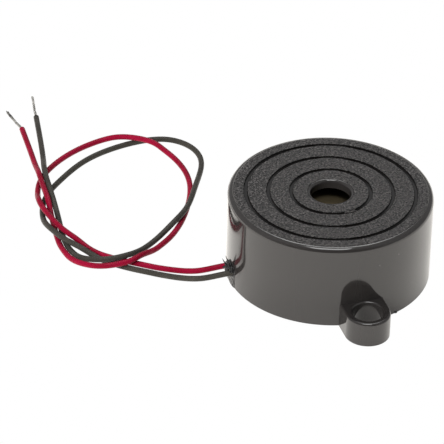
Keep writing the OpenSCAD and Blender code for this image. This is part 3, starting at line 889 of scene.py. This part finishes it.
# %% [markdown]
# ## Joining the new pieces to the frame
# Each new piece rides on the frame's one body and takes the finish of the
# ready-made node it stands for, whose name is that node's slot in the
# record, and that node is hidden.

def stand_for(piece, node_name):
    """The piece takes the node's finish, slot and place on the body, and is shown instead of it."""
    piece.data.materials.append(FINISHES[slot_of[node_name]])
    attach(piece, "root")
    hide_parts(node_name)


stand_for(case_piece, "case")
stand_for(red_lead, "red_lead")
stand_for(black_lead, "black_lead")
stand_for(red_tip, "red_strands")
stand_for(black_tip, "black_strands")
stand_for(sealant, "lead_sealant")

# %% [markdown]
# ## The table and the light
# The buzzer lies on a plain white table. The polished wall mirrors the table
# close around it, so what the table looks like there decides how bright the
# wall is. A broad soft lamp from the left makes the near side of the table
# brighter than the far right, and another hangs above and behind. A third,
# overhead, shows only as a gleam in polished edges. The backdrop is a soft grey
# in reflections, and the room on the near side is dark, which draws the dark
# band along the rounded edge of the black top.
#
# The table and the backdrop belong to the studio and not to the buzzer. Both
# ask whether a ray comes straight from the camera, and are plain white to it,
# so no shadow shows on the table. Light and reflections meet their own tones.
# None of the buzzer's finishes asks this, so they are the same for any viewer.

# %% Table, sky and lamps
TABLE_HALF = 3.0
TABLE_LOW = -0.02 * MM
PLAIN_WHITE = (1, 1, 1, 1)


def white_table():
    """A matt table with a glow of its own in light and reflections, and plain white to the camera.
    It lies a hair below the base, so that the two faces don't fight, and is clear seen from below."""
    h, low = TABLE_HALF, TABLE_LOW
    mesh = bpy.data.meshes.new("table")
    mesh.from_pydata([(-h, -h, low), (h, -h, low), (h, h, low), (-h, h, low)], [], [(0, 1, 2, 3)])
    table = bpy.data.objects.new("table", mesh)
    bpy.context.scene.collection.objects.link(table)
    material = bpy.data.materials.new("table_white")
    material.use_nodes = True
    material.node_tree.nodes.clear()
    matt = add(material, "ShaderNodeBsdfDiffuse", Color=(0.60, 0.575, 0.54, 1))
    glow = add(material, "ShaderNodeEmission", Color=(1, 0.98, 0.94, 1), Strength=0.78)
    lit = add(material, "ShaderNodeAddShader", [(0, matt, 0), (1, glow, 0)])
    white = add(material, "ShaderNodeEmission", Color=PLAIN_WHITE)
    ray = add(material, "ShaderNodeLightPath")
    seen = add(material, "ShaderNodeMixShader", [(0, ray, "Is Camera Ray"), (1, lit, 0), (2, white, 0)])
    side = add(material, "ShaderNodeNewGeometry")
    clear = add(material, "ShaderNodeBsdfTransparent")
    either = add(material, "ShaderNodeMixShader", [(0, side, "Backfacing"), (1, seen, 0), (2, clear, 0)])
    add(material, "ShaderNodeOutputMaterial", [("Surface", either, 0)])
    mesh.materials.append(material)


# The side of the room that the camera is first placed on. It is worked out once, so it stays where it is
# when the view is turned.
NEAR_SIDE = Vector((CAMERA_PLACE.x, CAMERA_PLACE.y, 0)).normalized()


def sky(behind, near_side):
    """Brightness by direction: behind it is the first number, and it falls smoothly to the second as the
    direction comes round to the near side. To the camera it is plain white."""
    world = bpy.data.worlds.new("sky")
    bpy.context.scene.world = world
    world.use_nodes = True
    where = add(world, "ShaderNodeTexCoord")
    nearness = add(world, "ShaderNodeVectorMath", [(0, where, "Generated")])
    nearness.operation = "DOT_PRODUCT"
    nearness.inputs[1].default_value = NEAR_SIDE
    ramp = add(world, "ShaderNodeMapRange", [("Value", nearness, "Value")],
               From_Min=0.25, From_Max=0.75, To_Min=behind, To_Max=near_side)
    ramp.interpolation_type = "SMOOTHSTEP"
    ray = add(world, "ShaderNodeLightPath")
    brightness = maths(world, "MAXIMUM", ramp.outputs["Result"], ray.outputs["Is Camera Ray"])
    back = world.node_tree.nodes["Background"]
    back.inputs["Color"].default_value = PLAIN_WHITE
    world.node_tree.links.new(brightness, back.inputs["Strength"])


def lamp(name, place, aim, size, power, mirrored=True, lights=True):
    """A square soft lamp that faces a point; one that isn't mirrored lights things but shows in no gloss,
    and one that doesn't light shows in gloss alone."""
    data = bpy.data.lights.new(name, "AREA")
    data.size = size
    data.energy = power
    light = bpy.data.objects.new(name, data)
    light.location = place
    light.rotation_euler = (Vector(place) - Vector(aim)).to_track_quat("Z", "Y").to_euler()
    light.visible_glossy = mirrored
    light.visible_diffuse = lights
    bpy.context.scene.collection.objects.link(light)
    print(f"{name}: {1000 * Vector(place).length:.0f} mm away, {power} W")


white_table()
sky(0.45, 0.03)
lamp("overhead", (-0.03, -0.10, 0.45), (0, 0, 0), 0.2, 0.9, lights=False)
lamp("above_and_behind", (0.114, 0.307, 0.503), (0, 0, 0), 0.3, 1.5)
lamp("from_the_left", (-0.35, -0.25, 0.30), (-0.01, -0.01, 0), 0.3, 4.5, mirrored=False)
bpy.context.scene.view_settings.view_transform = "Standard"
bpy.context.scene.view_settings.look = "None"
